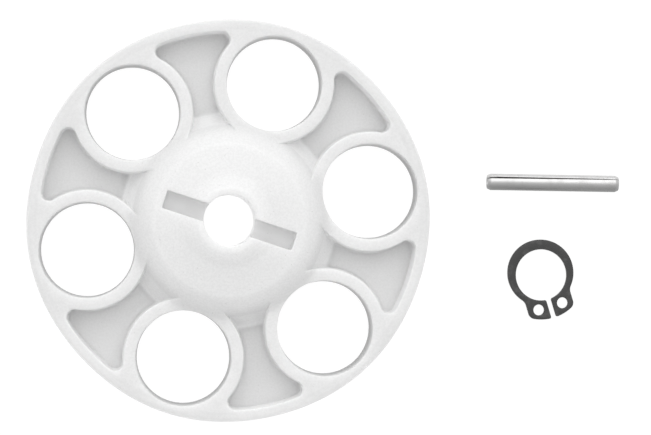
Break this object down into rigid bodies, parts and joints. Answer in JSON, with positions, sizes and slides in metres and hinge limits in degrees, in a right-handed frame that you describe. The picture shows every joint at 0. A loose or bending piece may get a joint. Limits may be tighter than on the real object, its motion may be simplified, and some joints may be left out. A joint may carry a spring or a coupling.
{
  "type": "drive wheel kit",
  "caption": "Moulded white wheel with round through holes, a domed hub with a cross slot, its slotted spring pin and its shaft retaining ring, laid out as a kit.",
  "frame": {"origin": "on the wheel's bore axis, in the plane of its flat back, which is also the surface that all three pieces lie on", "axes": "+Z along the bore towards the hub's slotted side; +X from the wheel towards the loose pin and ring; +Y completes the right-handed frame"},
  "size_m": [0.1187, 0.08, 0.015],
  "materials": {
    "white_nylon": "moulded satin, slightly translucent",
    "pin_steel": "drawn and rolled, bright",
    "ring_steel": "stamped, dark phosphated and oiled"
  },
  "bodies": {
    "wheel": {"drive_wheel": "white_nylon"},
    "pin": {"drive_pin": "pin_steel"},
    "ring": {"retaining_ring": "ring_steel"}
  },
  "joints": [
    {"name": "pin_lift", "type": "slide", "parent": "wheel", "child": "pin", "axis": [0, 0, 1], "range_m": [0, 0.03]},
    {"name": "ring_lift", "type": "slide", "parent": "wheel", "child": "ring", "axis": [0, 0, 1], "range_m": [0, 0.03]}
  ]
}
